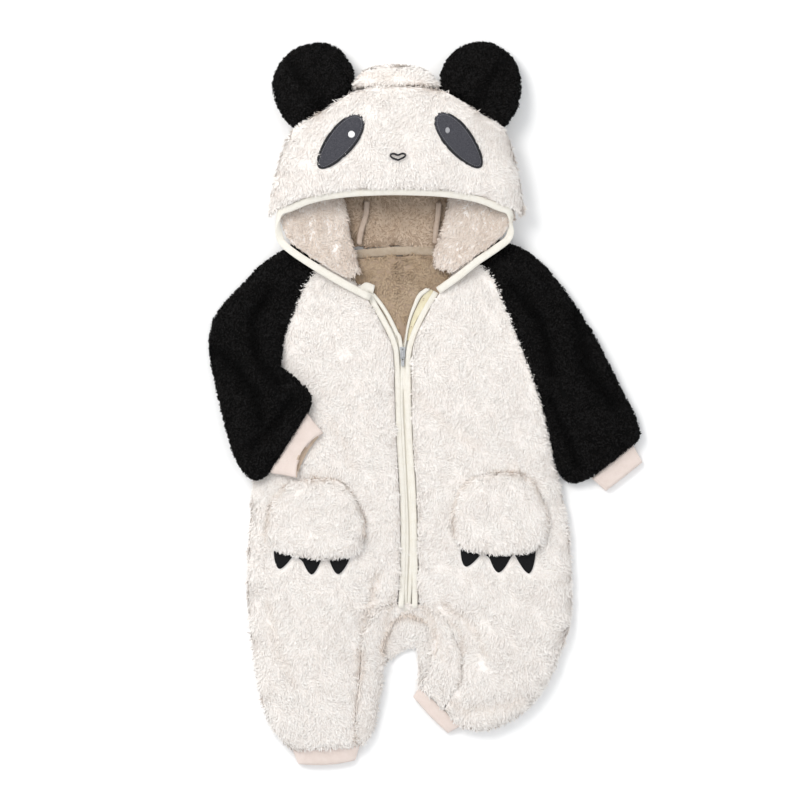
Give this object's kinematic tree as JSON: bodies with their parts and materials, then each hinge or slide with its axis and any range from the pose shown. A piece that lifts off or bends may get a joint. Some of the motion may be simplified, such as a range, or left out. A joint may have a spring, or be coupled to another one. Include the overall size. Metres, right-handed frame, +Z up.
{
  "type": "hooded plush romper",
  "caption": "Hooded long-sleeved plush romper for a baby, laid flat on its back, with a front zip, ears on the hood and paw-shaped pockets.",
  "frame": {"origin": "centre of the bounding box, at the surface that the garment lies on", "axes": "+Y towards the hood, +Z up from the surface, +X to the right as seen from above"},
  "size_m": [0.476, 0.7932, 0.0617],
  "materials": {
    "white_plush": "long white pile",
    "black_plush": "short curly black pile",
    "cream_binding": "smooth cream binding and tape",
    "peach_jersey": "smooth knitted cuff",
    "slate_felt": "dark grey felt",
    "black_felt": "black felt",
    "zip_metal": "plated zip slider"
  },
  "bodies": {
    "garment": {"back": "white_plush", "claws_left": "black_felt", "claws_right": "black_felt", "ear_left": "black_plush", "ear_right": "black_plush", "eye_left": "slate_felt", "eye_right": "slate_felt", "front_left": "white_plush", "front_right": "white_plush", "hood_binding": "cream_binding", "hood_centre": "white_plush", "hood_front": "white_plush", "hood_side_left": "white_plush", "hood_side_right": "white_plush", "leg_cuff_left": "peach_jersey", "leg_cuff_right": "peach_jersey", "neck_tape": "cream_binding", "placket_back": "white_plush", "placket_front": "white_plush", "pocket_left": "white_plush", "pocket_right": "white_plush", "sleeve_cuff_left": "peach_jersey", "sleeve_cuff_right": "peach_jersey", "sleeve_left": "black_plush", "sleeve_right": "black_plush", "zip_band_left": "cream_binding", "zip_band_right": "cream_binding", "zip_slider": "zip_metal", "zip_tape": "cream_binding"},
    "pull_tab": {"zip_pull": "zip_metal"}
  },
  "joints": [
    {"name": "pull_tab_hinge", "type": "hinge", "parent": "garment", "child": "pull_tab", "pos_m": [-0.0263, 0.0529, 0.01365], "axis": [-1, 0, 0], "range_deg": [0, 130]}
  ]
}
